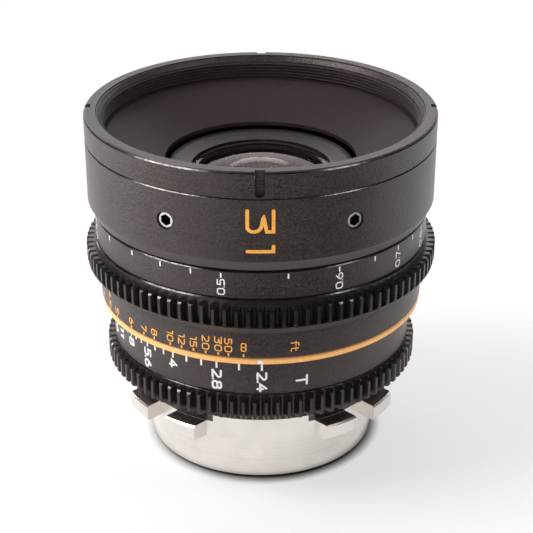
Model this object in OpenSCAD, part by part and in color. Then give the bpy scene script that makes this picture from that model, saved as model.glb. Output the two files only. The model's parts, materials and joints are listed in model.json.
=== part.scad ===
// Cinema prime lens, standing on its rear bayonet mount with the front glass up.
// The origin is the centre of the flange seat, +Z runs along the optical axis to the front,
// and the fixed index marks face -Y. All sizes are in millimetres.

/* [Front] */
// Distance from the flange seat to the front rim
front_length = 69.8; // [68:0.1:90]
// Outside diameter of the front ring and the front barrel
front_d = 80; // [80:0.5:100]
// Height of the front ring
front_ring_h = 5.9; // [4:0.1:8]
// Diameter of the filter thread
filter_d = 72; // [60:0.1:72]
// Wall of the front barrel
barrel_wall = 3.5; // [2.8:0.1:3.5]
// Height of the bevel at the rear edge of the front barrel
barrel_bevel_h = 2.5; // [1:0.1:4]
// Width of the bevel at the rear edge of the front barrel
barrel_bevel_w = 1.3; // [0.5:0.1:2]
// Radial depth of the support between the guide tube and the front barrel
support_depth = 5.4; // [5:0.1:6.5]
// Width of the slots in the front ring
rim_slot_w = 2.1; // [1:0.1:4]
// Depth of the slots in the front ring
rim_slot_depth = 1.4; // [0.5:0.1:2]
// Number of slots in the front ring
rim_slot_count = 4; // [2:1:8]
// Diameter of the lock screws in the front barrel
lock_screw_d = 4; // [2:0.5:5]
// Height of the lock screws above the rear edge of the front barrel
lock_screw_rise = 9.6; // [5:0.1:12]
// Number of lock screws
lock_screw_count = 6; // [3:1:8]

/* [Focus] */
// Turn of the focus ring from far to near, in degrees
focus_turn = 276; // [180:1:300]
// Forward travel of the lens block over that turn
focus_travel = 3.45; // [2:0.05:4.5]
// Module of both follow-focus gears
gear_module = 0.8; // [0.5:0.01:1]
// Least wall of a gear ring under its teeth
gear_rim = 1.15; // [0.8:0.05:2]
// Height of the rear scale band of the focus ring
rear_band_h = 8; // [6:0.1:10]
// Height of the focus gear
focus_gear_h = 6.7; // [5:0.1:8]
// Height of the plain lip over the teeth of the focus gear
focus_lip_h = 1.5; // [0.5:0.1:2]
// Height of the front scale band of the focus ring
front_band_h = 6.4; // [5:0.1:8]
// Wall of the focus ring at its rear scale band
focus_wall = 2.35; // [2:0.05:4]
// Step from the rear scale band out to the front one
front_band_step = 0.7; // [0.4:0.1:1]
// Wall of the guide tube that joins the mount to the front
tube_wall = 2.2; // [1.8:0.1:3]
// Wall of the sliding helicoid ring
helicoid_wall = 1.55; // [1.2:0.05:2.5]
// Wall of the turning helicoid sleeve
sleeve_wall = 2.4; // [2:0.1:3.5]
// Height of the fixed index ring
index_h = 1.4; // [1:0.1:3]

/* [Iris] */
// Turn of the iris ring from open to closed, in degrees
iris_turn = 74; // [60:1:80]
// Turn of a blade for each degree of the iris ring
blade_ratio = 0.4; // [0.3:0.01:0.4]
// Number of iris blades
blade_count = 10; // [6:1:12]
// Diameter of the open stop
stop_d = 17; // [14:0.1:21]
// Thickness of an iris blade
blade_t = 0.12; // [0.08:0.01:0.16]
// Height of the iris gear
iris_gear_h = 5.7; // [4.5:0.1:7]
// Height of the plain lip over the teeth of the iris gear
iris_lip_h = 0.8; // [0.5:0.1:2]
// Height of the scale band of the iris ring
iris_band_h = 8.7; // [8:0.1:10]
// Wall of the iris ring under its gear
iris_wall = 2.6; // [2:0.1:4]
// Step from the gear seat of the iris ring out to its scale band
iris_band_step = 1.45; // [1:0.05:2]

/* [Mount] */
// Diameter of the register tube
register_d = 54; // [44:0.5:55]
// Length of the register tube behind the flange seat
register_len = 12.6; // [12:0.1:16]
// Wall of the register tube
register_wall = 2.4; // [2:0.1:3]
// Diameter over the flange ears
ear_d = 68.6; // [66:0.1:72]
// Thickness of the flange ears
ear_t = 3.8; // [3:0.1:5]
// Width of a flange ear
ear_w = 22; // [16:0.5:26]
// Width of the locating slot in each ear
ear_slot_w = 6; // [3:0.1:8]
// Height of the neck above the ears
neck_h = 1.7; // [1:0.1:3]
// Thickness of the flange shim
shim_t = 0.3; // [0.1:0.05:0.5]

/* [Lens block] */
// Height of the front cell's rim above the flange seat
nose_z = 56.3; // [54:0.1:58]
// Diameter of the front cell's nose
nose_d = 42.4; // [41:0.1:46]
// Diameter of the front glass
front_glass_d = 33.6; // [30:0.1:36]
// Clear gap around the nose in the front baffle
nose_gap = 0.8; // [0.5:0.1:2]

/* [Hidden] */
$fn = 128;

// Clearances
running_fit = 0.05;
seat_fit = 0.05;
free_gap = 0.3;
screw_fit = 0.05;
over = 1;

// Edge breaks
edge = 0.25;
rim_chamfer = 0.5;
ear_chamfer = 0.4;
gear_chamfer = 0.35;
skirt_foot = 0.45;
skirt_rise = 0.8;
skirt_edge = 0.2;
skirt_step = 0.15;

// Colours
anodised = "#3b3838";
gear_black = "#1d1c1c";
inner_black = "#242323";
orange = "#f0a23c";
steel = "#cfcdc8";
brass = "#b8954a";
glass_tint = "#5d4a5e";
blade_grey = "#2c2c2e";

// Turned radii, from the front barrel inwards and out again over the guide tube
index_angle = -90;
front_r = front_d / 2;
barrel_bore_r = front_r - barrel_wall;
cup_r = barrel_bore_r - seat_fit;
cup_wall = 1.6;
tube_r = barrel_bore_r - support_depth;
tube_bore_r = tube_r - tube_wall;
block_r = tube_bore_r - running_fit;
slider_in_r = tube_r + free_gap;
slider_r = slider_in_r + helicoid_wall;
sleeve_in_r = slider_r + running_fit;
sleeve_r = sleeve_in_r + sleeve_wall;
sleeve_flange_r = sleeve_r + 2.1;
focus_bore_r = sleeve_r + seat_fit;
rear_band_r = focus_bore_r + focus_wall;
front_band_r = rear_band_r + front_band_step;
index_flange_r = rear_band_r - 1.6;
index_r = rear_band_r - 0.15;
iris_bore_r = tube_r + running_fit;
iris_seat_r = iris_bore_r + iris_wall;
iris_band_r = iris_seat_r + iris_band_step;

// Turned radii of the mount
register_r = register_d / 2;
register_bore_r = register_r - register_wall;
neck_r = register_r + 3.6;
mount_screw_r = 0.8;
mount_head_r = 1.5;
mount_head_sink = 0.1;
mount_circle_r = register_r + 1.8;
mount_screw_angle = asin((ear_slot_w / 2 + 2.5) / mount_circle_r);
tube_foot_bore_r = register_r - 0.6;

// Heights from the flange seat to the front rim
neck_top = ear_t + neck_h;
tube_z0 = neck_top + shim_t;
tube_foot_h = 3.8;
iris_z0 = 9.1;
iris_gear_z1 = iris_z0 + iris_gear_h;
iris_z1 = iris_gear_z1 + iris_band_h;
index_z0 = iris_z1 + free_gap;
index_z1 = index_z0 + index_h;
focus_z0 = index_z1 + free_gap;
focus_gear_z0 = focus_z0 + rear_band_h;
focus_gear_z1 = focus_gear_z0 + focus_gear_h;
focus_z1 = focus_gear_z1 + front_band_h;
front_gap = 0.6;
barrel_z0 = focus_z1 + front_gap;
seam_z = front_length - front_ring_h;
retainer_h = 0.9;
retainer_z0 = iris_z0 - free_gap - retainer_h;

// Front ring, baffle and support
filter_r = filter_d / 2;
collar_h = 2;
collar_r = barrel_bore_r + 1.1;
collar_top = seam_z + collar_h;
baffle_rim_t = 0.45;
baffle_t = 0.8;
baffle_lip_r = filter_r - 0.8;
baffle_lip_z = seam_z + 0.1;
baffle_register_r = min(baffle_lip_r - 0.4, cup_r - cup_wall - seat_fit);
nose_r = nose_d / 2;
baffle_hole_r = nose_r + nose_gap;
baffle_hole_z = nose_z + 1.5;
baffle_slope = (baffle_lip_z - baffle_hole_z) / (baffle_lip_r - baffle_hole_r);
baffle_drop = baffle_t * sqrt(1 + pow(baffle_slope, 2));
baffle_register_z = baffle_lip_z - baffle_slope * (baffle_lip_r - baffle_register_r);
baffle_seat_z = baffle_register_z - baffle_rim_t;
rim_step_r = filter_r + 1.3;
rim_step_h = 0.25;
lead_w = 0.95;
lead_h = 0.95;
support_hub_wall = 2.45;
support_hub_h = 5.8;
support_web_h = 2.2;
support_screw_r = 1;
support_screw_count = 3;
support_screw_z = barrel_z0 + (support_web_h + support_hub_h) / 2;
lock_screw_r = lock_screw_d / 2;
lock_screw_z = barrel_z0 + lock_screw_rise;
lock_socket_r = lock_screw_r * 0.68;

// Focus helicoid and its stop
slider_z0 = focus_z0 + 4.5;
slider_z1 = focus_z1 - 1.15 - focus_travel;
sleeve_z0 = focus_z0 + 1.7;
sleeve_flange_t = 1.3;
sleeve_z1 = focus_z1 - 0.4;
sleeve_screw_count = 6;
sleeve_screw_r = 0.6;
sleeve_head_r = 0.9;
sleeve_head_h = 0.7;
sleeve_screw_len = 4.2;
sleeve_circle_r = sleeve_r + 1;
stop_pin_r = 1;
stop_shank_r = 0.6;
stop_pin_h = 1.2;
stop_circle_r = (sleeve_in_r + sleeve_r) / 2;
stop_angle = 90;
stop_margin = asin((stop_pin_r + free_gap) / sleeve_in_r);
stop_lug_angle = 360 - focus_turn - 2 * stop_margin;

// Guide keys between the sliding helicoid and the lens barrel
key_count = 3;
key_w = 5;
key_h = 6;
key_z0 = slider_z0 + 2.5;
key_in_r = block_r - 1.6;
key_out_r = slider_r - 0.3;
key_angle = index_angle;

// Iris unit, stacked behind the shoulder of the lens barrel
stop_r = stop_d / 2;
blade_in_r = stop_r + 0.1;
blade_out_r = blade_in_r + 5.8;
pivot_r = stop_r + 7;
blade_span = 125;
blade_root = -5;
blade_pitch = 0.3;
blade_ear_r = 2;
tail_len = 6;
tail_w = 1.6;
tail_angle = -96;
pivot_pin_r = 0.55;
drive_pin_r = 0.4;
cam_half_w = drive_pin_r + 0.07;
cam_steps = 16;
actuator_r = pivot_r + 5.5;
actuator_rim = 1.5;
actuator_in_r = stop_r + 2.3;
actuator_plate_t = 1.2;
unit_r = actuator_r + running_fit + 1.9;
unit_bore_r = unit_r + seat_fit;
drive_z = 17.5;
drive_r = 1.1;
actuator_z0 = drive_z - 1.6;
actuator_z1 = actuator_z0 + 3.4;
cover_z1 = actuator_z0 - free_gap;
cover_t = 1.3;
cover_z0 = cover_z1 - cover_t;
blade_floor = actuator_z1 + 0.5;
unit_plate_z0 = blade_floor + blade_count * blade_pitch + 0.1;
unit_plate_t = 1.6;
unit_z1 = unit_plate_z0 + unit_plate_t;
drive_angle = 90 - iris_turn / 2;
drive_end_r = iris_bore_r + 1.45;
drive_groove_r = drive_end_r + free_gap;

// Lens barrel and cells
barrel_foot_z = 12;
rear_land_z1 = 14.5;
front_land_z0 = slider_z0;
relief = 0.6;
lens_barrel_z1 = 44;
spigot_r = 19.95;
spigot_bore_r = spigot_r + seat_fit;
spigot_z0 = 27;
shoulder_t = 1.5;
shoulder_r = 12;
cell_flange_r = 23.5;
cell_flange_h = 1.5;
glass_fit = 0.05;
front_glass_r = front_glass_d / 2;
front_glass_z0 = nose_z - 5.55;
front_glass_z1 = nose_z - 1.5;
front_curve = 46;
front_vertex = front_glass_z1 + front_curve - sqrt(pow(front_curve, 2) - pow(front_glass_r, 2));
front_rear_curve = 22;
front_rear_vertex = front_vertex - 2.2;
ring_bore_r = nose_r - 0.7;
ring_z0 = front_glass_z1 - 1.45;
second_r = 14.5;
second_vertex = front_rear_vertex - 5.3;
second_curve = 30;
second_t = 7;
second_rear_curve = 60;
third_r = 11.5;
third_vertex = 41;
third_curve = 22;
third_t = 3.5;
third_rear_curve = 14;
third_z0 = 33.8;
retaining_h = 1.5;
doublet_r = 10.8;
doublet_z1 = 13.6;
fourth_curve = 24;
fourth_t = 1.5;
fourth_vertex = doublet_z1 - cap_height(fourth_curve, doublet_r);
bond_curve = 18;
bond_vertex = fourth_vertex - fourth_t;
bond_gap = 0.02;
fifth_t = 7.5;
fifth_rear_curve = 22;
fifth_vertex = bond_vertex - bond_gap;
fifth_rear_vertex = fifth_vertex - fifth_t;
rear_glass_r = 11.5;
rear_vertex = 0.6;
rear_curve = 40;
rear_t = 6;
rear_back_curve = 26;
rear_back_vertex = rear_vertex - rear_t;
cell_throat_r = 9.8;
rear_body_r = register_bore_r - 1.7;
rear_flange_r = tube_foot_bore_r - 0.9;
rear_flange_h = 1.8;
rear_cell_z0 = -6;
rear_baffle_t = 1.2;
rear_baffle_inset = 0.8;
rear_baffle_r = 15;

BLADES = [for (i = [1:blade_count]) str("iris_blade_", i)];

// Height of a spherical cap of this curve over a disc of radius r
function cap_height(curve, r) = curve - sqrt(pow(curve, 2) - pow(r, 2));

// Point at a radius and an angle
function polar(r, a) = [r * cos(a), r * sin(a)];

// Teeth that fit a gear ring on a seat of radius r
function teeth_on(r) = round(2 * (r + seat_fit + gear_rim) / gear_module + 2.5);

// Involute angle at radius r over a base circle, in degrees
function involute(r, base) = tan(acos(base / r)) * 180 / PI - acos(base / r);

// Angle of a path that leaves this much room beside a radial pin at radius r
function drive_margin(r) = asin((drive_r + free_gap) / r);

// Blade drive pin, seen from the turning actuator, when the iris ring has turned by a degrees
function cam_point(a) =
    let (t = tail_angle + blade_ratio * a)
    let (p = [pivot_r + tail_len * cos(t), tail_len * sin(t)])
    [p.x * cos(a) + p.y * sin(a), p.y * cos(a) - p.x * sin(a)];

// Unit normal of the cam path there
function cam_normal(a) =
    let (d = cam_point(a + 0.5) - cam_point(a - 0.5))
    [-d.y, d.x] / norm(d);

// Body of revolution from a profile of radius and height
module turned(points) {
    rotate_extrude() polygon(points);
}

// Plain ring
module band(r_in, r_out, z0, z1) {
    turned([[r_in, z0], [r_out, z0], [r_out, z1], [r_in, z1]]);
}

// Copies evenly around the axis
module around(count, start = 0) {
    for (i = [0:count - 1]) rotate([0, 0, start + i * 360 / count]) children();
}

// Cylinder along a radius
module radial(r0, r1, z, r) {
    translate([r0, 0, z]) rotate([0, 90, 0]) cylinder(h = r1 - r0, r = r);
}

// Sector with its tip on the axis
module sector(a0, a1, r, z0, z1) {
    mid = (a0 + a1) / 2;
    translate([0, 0, z0]) linear_extrude(z1 - z0)
        polygon([
            [0, 0], polar(r, a0), polar(r, (a0 + mid) / 2),
            polar(r, mid), polar(r, (a1 + mid) / 2), polar(r, a1)
        ]);
}

// Curved slot through a ring wall
module arc_slot(r_in, r_out, a0, a1, z0, z1) {
    intersection() {
        band(r_in, r_out, z0, z1);
        sector(a0, a1, 2 * r_out, z0, z1);
    }
}

// Glass with a curved front and a curved rear, where a negative curve is hollow
module glass(r, z0, z1, front, front_curve, rear, rear_curve) {
    difference() {
        intersection() {
            translate([0, 0, z0]) cylinder(h = z1 - z0, r = r);
            if (front_curve > 0) translate([0, 0, front - front_curve]) sphere(front_curve);
            if (rear_curve > 0) translate([0, 0, rear + rear_curve]) sphere(rear_curve);
        }
        if (front_curve < 0) translate([0, 0, front - front_curve]) sphere(-front_curve);
        if (rear_curve < 0) translate([0, 0, rear + rear_curve]) sphere(-rear_curve);
    }
}

// Outline of a spur gear with involute flanks and eased tooth roots
module gear_outline(teeth) {
    pitch_r = gear_module * teeth / 2;
    base_r = pitch_r * cos(20);
    root_r = pitch_r - 1.25 * gear_module;
    root_ease = 0.2 * gear_module;
    radii = [root_r, root_r + root_ease, pitch_r, pitch_r + gear_module];
    ease_angle = [root_ease / root_r * 180 / PI, 0, 0, 0];
    half = [
        for (k = [0:3])
            90 / teeth + involute(pitch_r, base_r) - involute(radii[k], base_r) + ease_angle[k]
    ];
    polygon([
        for (i = [0:teeth - 1]) each concat(
            [for (k = [0:3]) polar(radii[k], (i * 360 / teeth) - half[k])],
            [for (k = [3:-1:0]) polar(radii[k], (i * 360 / teeth) + half[k])]
        )
    ]);
}

// Gear ring with a plain lip over its teeth, and a flared skirt under them where it has one
module gear_ring(bore_r, teeth, z0, z1, lip_h, skirted = false) {
    tip_r = gear_module * (teeth / 2 + 1);
    lip_r = gear_module * (teeth / 2 - 1.25) - 0.1;
    tooth_top = z1 - lip_h;
    skirt_r = tip_r - skirt_step;
    skirt_z = z0 + skirt_rise;
    foot_r = bore_r + skirt_foot;
    tooth_foot = skirt_z + 2.5 * skirt_edge;
    bottom = skirted ? skirt_z - (skirt_r - foot_r) : z0;
    foot = skirted
        ? [[foot_r, bottom], [skirt_r, skirt_z], [skirt_r, tooth_foot], [tip_r, tooth_foot + skirt_step]]
        : [[tip_r - gear_chamfer, z0], [tip_r, z0 + gear_chamfer]];
    intersection() {
        union() {
            translate([0, 0, bottom - over]) linear_extrude(z1 - bottom + 2 * over) gear_outline(teeth);
            if (skirted) translate([0, 0, bottom - over])
                cylinder(h = skirt_z + skirt_edge - bottom + over, r = tip_r + over);
        }
        turned(concat([[bore_r, bottom]], foot, [
            [tip_r, tooth_top - gear_chamfer], [tip_r - gear_chamfer, tooth_top],
            [lip_r, tooth_top], [lip_r, z1 - edge], [lip_r - edge, z1], [bore_r, z1]
        ]));
    }
}

// Fixed housing

module rim_slot() {
    floor_z = seam_z + edge + rim_slot_w / 2;
    translate([front_r - rim_slot_depth, -rim_slot_w / 2, floor_z])
        cube([rim_slot_depth + over, rim_slot_w, front_ring_h]);
    radial(front_r - rim_slot_depth, front_r + over, floor_z, rim_slot_w / 2);
}

module front_ring() {
    lip_r = barrel_bore_r - seat_fit;
    lip_z = seam_z + baffle_rim_t + seat_fit;
    color(anodised) difference() {
        turned([
            [filter_r, lip_z], [lip_r, lip_z],
            [lip_r, collar_top + seat_fit], [collar_r + seat_fit, collar_top + seat_fit],
            [collar_r + seat_fit, seam_z], [front_r - edge, seam_z], [front_r, seam_z + edge],
            [front_r, front_length - rim_chamfer], [front_r - rim_chamfer, front_length],
            [rim_step_r, front_length], [rim_step_r, front_length - rim_step_h],
            [filter_r + lead_w, front_length - rim_step_h], [filter_r, front_length - rim_step_h - lead_h]
        ]);
        around(rim_slot_count, index_angle) rim_slot();
    }
}

module front_barrel() {
    color(anodised) difference() {
        turned([
            [barrel_bore_r, barrel_z0], [front_r - barrel_bevel_w, barrel_z0],
            [front_r, barrel_z0 + barrel_bevel_h], [front_r, seam_z - edge], [front_r - edge, seam_z],
            [collar_r, seam_z], [collar_r, collar_top], [barrel_bore_r, collar_top]
        ]);
        around(lock_screw_count, index_angle + 180 / lock_screw_count)
            radial(barrel_bore_r - over, front_r + over, lock_screw_z, lock_screw_r + screw_fit);
    }
}

module lock_screws() {
    tip_r = barrel_bore_r + 0.03;
    head_r = front_r - 0.45;
    socket_depth = 1.7;
    color(steel) around(lock_screw_count, index_angle + 180 / lock_screw_count) difference() {
        union() {
            radial(tip_r, head_r - edge, lock_screw_z, lock_screw_r);
            translate([head_r - edge, 0, lock_screw_z]) rotate([0, 90, 0])
                cylinder(h = edge, r1 = lock_screw_r, r2 = lock_screw_r - 1.4 * edge);
        }
        translate([head_r - socket_depth, 0, lock_screw_z]) rotate([0, 90, 0])
            cylinder(h = socket_depth + over, r = lock_socket_r, $fn = 6);
    }
}

module front_baffle() {
    rim_r = barrel_bore_r - seat_fit;
    color(inner_black) turned([
        [baffle_hole_r, baffle_hole_z - baffle_drop], [baffle_register_r, baffle_register_z - baffle_drop],
        [baffle_register_r, baffle_seat_z], [rim_r, baffle_seat_z], [rim_r, seam_z + baffle_rim_t],
        [baffle_lip_r, seam_z + baffle_rim_t], [baffle_lip_r, baffle_lip_z], [baffle_hole_r, baffle_hole_z]
    ]);
}

module barrel_support() {
    hub_r = tube_r + support_hub_wall;
    cup_in_r = cup_r - cup_wall;
    cup_top = baffle_seat_z - seat_fit;
    color(inner_black) difference() {
        turned([
            [tube_r + seat_fit, barrel_z0], [cup_r, barrel_z0], [cup_r, cup_top], [cup_in_r, cup_top],
            [cup_in_r, barrel_z0 + support_web_h], [hub_r, barrel_z0 + support_web_h],
            [hub_r, barrel_z0 + support_hub_h], [tube_r + seat_fit, barrel_z0 + support_hub_h]
        ]);
        around(support_screw_count, index_angle)
            radial(tube_r, hub_r + over, support_screw_z, support_screw_r + screw_fit);
    }
}

module support_screws() {
    color(steel) around(support_screw_count, index_angle)
        radial(tube_r + 0.06, tube_r + support_hub_wall, support_screw_z, support_screw_r);
}

module mount_hole_pattern() {
    for (ear = [45:90:315]) for (side = [-1, 1])
        rotate([0, 0, ear + side * mount_screw_angle]) translate([mount_circle_r, 0, 0]) children();
}

module guide_tube() {
    color(inner_black) difference() {
        turned([
            [tube_foot_bore_r, tube_z0], [tube_r, tube_z0], [tube_r, index_z0], [index_flange_r, index_z0],
            [index_flange_r, index_z1], [tube_r, index_z1], [tube_r, barrel_z0 + support_hub_h],
            [tube_bore_r, barrel_z0 + support_hub_h], [tube_bore_r, tube_z0 + tube_foot_h],
            [tube_foot_bore_r, tube_z0 + tube_foot_h]
        ]);
        around(key_count, key_angle)
            key_block(tube_bore_r - over, tube_r + over, running_fit, focus_travel + free_gap);
        arc_slot(
            tube_bore_r - over, tube_r + over,
            drive_angle - drive_margin(tube_bore_r), drive_angle + iris_turn + drive_margin(tube_bore_r),
            drive_z - drive_r - free_gap, drive_z + drive_r + focus_travel + free_gap
        );
        mount_hole_pattern() translate([0, 0, tube_z0 - over])
            cylinder(h = tube_foot_h + over - 0.5, r = mount_screw_r + screw_fit);
        rotate([0, 0, stop_angle]) translate([stop_circle_r, 0, index_z0 - over])
            cylinder(h = index_h + 2 * over, r = stop_shank_r + seat_fit);
    }
}

module index_ring() {
    round_edge = 0.3;
    color(orange) turned([
        [index_flange_r + seat_fit, index_z0], [index_r - round_edge, index_z0],
        [index_r, index_z0 + round_edge], [index_r, index_z1 - round_edge],
        [index_r - round_edge, index_z1], [index_flange_r + seat_fit, index_z1]
    ]);
}

module focus_stop() {
    color(steel) rotate([0, 0, stop_angle]) translate([stop_circle_r, 0, 0]) {
        translate([0, 0, index_z1]) cylinder(h = stop_pin_h, r = stop_pin_r);
        translate([0, 0, index_z0 + 0.1]) cylinder(h = index_h, r = stop_shank_r);
    }
}

module iris_retainer() {
    color(inner_black) band(tube_r + seat_fit, iris_seat_r - 0.55, retainer_z0, retainer_z0 + retainer_h);
}

module pl_mount() {
    ear_r = ear_d / 2;
    slot_floor_r = neck_r - 0.3;
    color(steel) difference() {
        union() {
            turned([
                [register_bore_r, -register_len + ear_chamfer],
                [register_bore_r + ear_chamfer, -register_len],
                [register_r - 2 * ear_chamfer, -register_len],
                [register_r, -register_len + 2 * ear_chamfer],
                [register_r, 0], [neck_r, 0], [neck_r, neck_top], [register_bore_r, neck_top]
            ]);
            intersection() {
                turned([
                    [register_bore_r, 0], [ear_r - ear_chamfer, 0], [ear_r, ear_chamfer],
                    [ear_r, ear_t - ear_chamfer], [ear_r - ear_chamfer, ear_t], [register_bore_r, ear_t]
                ]);
                for (a = [45, 135]) rotate([0, 0, a])
                    translate([-front_r, -ear_w / 2, 0]) cube([front_d, ear_w, ear_t]);
            }
        }
        for (a = [45:90:315]) rotate([0, 0, a])
            translate([slot_floor_r, -ear_slot_w / 2, -over]) cube([ear_r, ear_slot_w, ear_t + 2 * over]);
        translate([0, 0, -over]) cylinder(h = neck_top + 2 * over, r = register_bore_r);
        mount_hole_pattern() {
            translate([0, 0, -over]) cylinder(h = neck_top + 2 * over, r = mount_screw_r + screw_fit);
            translate([0, 0, -over]) cylinder(h = over + mount_head_sink, r = mount_head_r + screw_fit);
            mount_head_cone(screw_fit);
        }
    }
}

module flange_shim() {
    color(brass) difference() {
        band(tube_foot_bore_r, min(neck_r, tube_r) - 0.1, neck_top, tube_z0);
        mount_hole_pattern() translate([0, 0, neck_top - over])
            cylinder(h = shim_t + 2 * over, r = mount_screw_r + 3 * screw_fit);
    }
}

module mount_head_cone(fit) {
    translate([0, 0, mount_head_sink])
        cylinder(h = mount_head_r - mount_screw_r, r1 = mount_head_r + fit, r2 = mount_screw_r + fit);
}

module mount_screws() {
    tip_z = tube_z0 + tube_foot_h - 0.8;
    color(steel) mount_hole_pattern() {
        mount_head_cone(0);
        translate([0, 0, mount_head_sink]) cylinder(h = tip_z - mount_head_sink, r = mount_screw_r);
    }
}

module rear_baffle() {
    z0 = -register_len + rear_baffle_inset;
    rim_r = register_bore_r - seat_fit;
    color(inner_black) turned([
        [rear_baffle_r + 1, z0], [rim_r, z0], [rim_r, z0 + rear_baffle_t],
        [rear_baffle_r, z0 + rear_baffle_t], [rear_baffle_r, z0 + 0.7 * rear_baffle_t]
    ]);
}

// Turning focus ring

module focus_ring() {
    recess_z = sleeve_z1 - sleeve_flange_t;
    color(anodised) difference() {
        turned([
            [focus_bore_r, focus_z0], [rear_band_r - edge, focus_z0], [rear_band_r, focus_z0 + edge],
            [rear_band_r, focus_gear_z1], [front_band_r - edge, focus_gear_z1],
            [front_band_r, focus_gear_z1 + edge], [front_band_r, focus_z1 - edge],
            [front_band_r - edge, focus_z1], [sleeve_flange_r + seat_fit, focus_z1],
            [sleeve_flange_r + seat_fit, recess_z], [focus_bore_r, recess_z]
        ]);
        around(sleeve_screw_count) translate([sleeve_circle_r, 0, recess_z - sleeve_screw_len])
            cylinder(h = sleeve_screw_len + over, r = sleeve_screw_r + screw_fit);
    }
}

module focus_gear() {
    color(gear_black)
        gear_ring(
            rear_band_r + seat_fit, teeth_on(rear_band_r),
            focus_gear_z0, focus_gear_z1, focus_lip_h, skirted = true
        );
}

module focus_helicoid() {
    flange_z0 = sleeve_z1 - sleeve_flange_t;
    lug_start = stop_angle + stop_margin;
    color(brass) difference() {
        union() {
            turned([
                [sleeve_in_r, sleeve_z0], [sleeve_r, sleeve_z0], [sleeve_r, flange_z0],
                [sleeve_flange_r, flange_z0], [sleeve_flange_r, sleeve_z1], [sleeve_in_r, sleeve_z1]
            ]);
            arc_slot(
                sleeve_in_r, sleeve_r, lug_start, lug_start + stop_lug_angle, focus_z0, sleeve_z0 + over
            );
        }
        around(sleeve_screw_count) translate([sleeve_circle_r, 0, 0]) {
            translate([0, 0, flange_z0 - over])
                cylinder(h = 2 * over + sleeve_flange_t, r = sleeve_screw_r + screw_fit);
            translate([0, 0, sleeve_z1 - sleeve_head_h])
                cylinder(h = sleeve_head_h + over, r = sleeve_head_r + screw_fit);
        }
    }
}

module helicoid_screws() {
    color(steel) around(sleeve_screw_count) translate([sleeve_circle_r, 0, 0]) {
        translate([0, 0, sleeve_z1 - sleeve_head_h]) cylinder(h = sleeve_head_h, r = sleeve_head_r);
        translate([0, 0, sleeve_z1 - sleeve_screw_len]) cylinder(h = sleeve_screw_len, r = sleeve_screw_r);
    }
}

// Sliding lens block

module key_block(r0, r1, side, rise) {
    translate([r0, -key_w / 2 - side, key_z0 - side])
        cube([r1 - r0, key_w + 2 * side, key_h + 2 * side + rise]);
}

module helicoid_ring() {
    color(brass) difference() {
        band(slider_in_r, slider_r, slider_z0, slider_z1);
        around(key_count, key_angle) key_block(slider_in_r - over, slider_r + over, seat_fit, 0);
    }
}

module guide_keys() {
    color(steel) around(key_count, key_angle) key_block(key_in_r, key_out_r, 0, 0);
}

module lens_barrel() {
    relief_r = block_r - relief;
    color(inner_black) difference() {
        turned([
            [unit_bore_r, barrel_foot_z], [block_r, barrel_foot_z], [block_r, rear_land_z1],
            [relief_r, rear_land_z1], [relief_r, front_land_z0], [block_r, front_land_z0],
            [block_r, lens_barrel_z1], [spigot_bore_r, lens_barrel_z1],
            [spigot_bore_r, unit_z1 + shoulder_t],
            [shoulder_r, unit_z1 + shoulder_t], [shoulder_r, unit_z1], [unit_bore_r, unit_z1]
        ]);
        around(key_count, key_angle) key_block(key_in_r - seat_fit, block_r + over, seat_fit, 0);
        arc_slot(
            unit_bore_r - over, block_r + over,
            drive_angle - drive_margin(unit_bore_r), drive_angle + iris_turn + drive_margin(unit_bore_r),
            drive_z - drive_r - free_gap, drive_z + drive_r + free_gap
        );
    }
}

module front_cell() {
    throat_r = 10.6;
    second_z = second_vertex - second_t;
    color(inner_black) turned([
        [third_r + glass_fit, spigot_z0], [spigot_r, spigot_z0], [spigot_r, lens_barrel_z1],
        [cell_flange_r, lens_barrel_z1], [cell_flange_r, lens_barrel_z1 + cell_flange_h],
        [nose_r, lens_barrel_z1 + cell_flange_h], [nose_r, nose_z - edge], [nose_r - edge, nose_z],
        [ring_bore_r, nose_z], [ring_bore_r, ring_z0], [front_glass_r + glass_fit, ring_z0],
        [front_glass_r + glass_fit, second_z + 3.3], [second_r + glass_fit, second_z + 3.3],
        [second_r + glass_fit, second_z + 1.4], [second_r - 1.3, second_z + 1.4],
        [second_r - 1.3, second_z + 0.4], [throat_r, third_vertex + 0.6],
        [throat_r, third_vertex - 2.65], [third_r + glass_fit, third_vertex - 2.65]
    ]);
}

module front_retainer() {
    lip_r = front_glass_r - 0.7;
    lip_z = front_vertex - cap_height(front_curve, lip_r) + seat_fit;
    color(anodised) turned([
        [front_glass_r + 0.2, ring_z0 + seat_fit], [ring_bore_r - seat_fit, ring_z0 + seat_fit],
        [ring_bore_r - seat_fit, nose_z - 0.1], [ring_bore_r - 0.7, nose_z - 0.1],
        [lip_r, lip_z + 0.4], [lip_r, lip_z], [front_glass_r + 0.2, lip_z - 0.2]
    ]);
}

module front_element() {
    color(glass_tint) glass(
        front_glass_r, front_glass_z0, front_vertex + over,
        front_vertex, front_curve, front_rear_vertex, -front_rear_curve
    );
}

module front_spacer() {
    rest_r = second_r - 0.5;
    color(inner_black) band(
        rest_r, front_glass_r - seat_fit,
        second_vertex - cap_height(second_curve, rest_r) + seat_fit, front_glass_z0 - seat_fit
    );
}

module second_element() {
    color(glass_tint) glass(
        second_r, second_vertex - second_t, second_vertex,
        second_vertex, second_curve, second_vertex - second_t, second_rear_curve
    );
}

module third_element() {
    color(glass_tint) glass(
        third_r, third_z0, third_vertex,
        third_vertex, third_curve, third_vertex - third_t, -third_rear_curve
    );
}

module third_retainer() {
    top = third_z0 - seat_fit;
    color(inner_black) band(third_r - retaining_h, third_r, top - retaining_h, top);
}

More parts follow.
